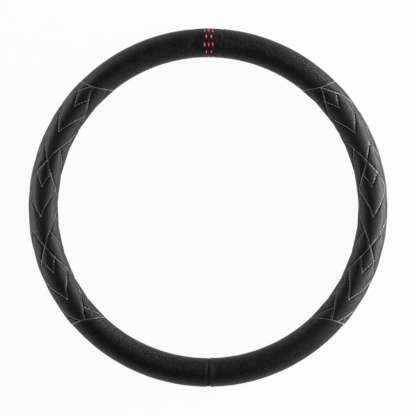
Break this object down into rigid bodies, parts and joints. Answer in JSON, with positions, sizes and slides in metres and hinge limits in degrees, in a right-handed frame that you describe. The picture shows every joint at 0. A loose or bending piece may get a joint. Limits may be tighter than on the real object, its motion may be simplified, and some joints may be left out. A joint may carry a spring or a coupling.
{
  "type": "steering wheel cover",
  "caption": "Round slip-on cover for a steering wheel: black microfibre leather with quilted side panels and red centring stitches over a slit rubber liner",
  "frame": {"origin": "on the ring's axis, on the surface that the cover lies on", "axes": "+Z is the ring's axis and points out of the front face, +Y is twelve o'clock and +X is three o'clock as the driver sees the cover"},
  "size_m": [0.3794, 0.3806, 0.0308],
  "materials": {
    "smooth_leather": "fine matt grain microfibre leather",
    "quilted_leather": "matt microfibre leather with sewn lines",
    "liner_rubber": "moulded matt rubber",
    "red_thread": "thick red sewing thread"
  },
  "bodies": {
    "root": {"marker_panel": "smooth_leather", "top_left_panel": "smooth_leather", "top_right_panel": "smooth_leather", "bottom_left_panel": "smooth_leather", "bottom_right_panel": "smooth_leather", "left_quilted_panel": "quilted_leather", "right_quilted_panel": "quilted_leather", "rubber_liner": "liner_rubber", "marker_stitch_1_1": "red_thread", "marker_stitch_1_2": "red_thread", "marker_stitch_1_3": "red_thread", "marker_stitch_2_1": "red_thread", "marker_stitch_2_2": "red_thread", "marker_stitch_3_1": "red_thread", "marker_stitch_3_2": "red_thread", "marker_stitch_3_3": "red_thread", "marker_stitch_4_1": "red_thread", "marker_stitch_4_2": "red_thread", "marker_stitch_5_1": "red_thread", "marker_stitch_5_2": "red_thread", "marker_stitch_5_3": "red_thread", "marker_stitch_6_1": "red_thread", "marker_stitch_6_2": "red_thread", "marker_stitch_7_1": "red_thread", "marker_stitch_7_2": "red_thread", "marker_stitch_7_3": "red_thread"}
  },
  "joints": []
}
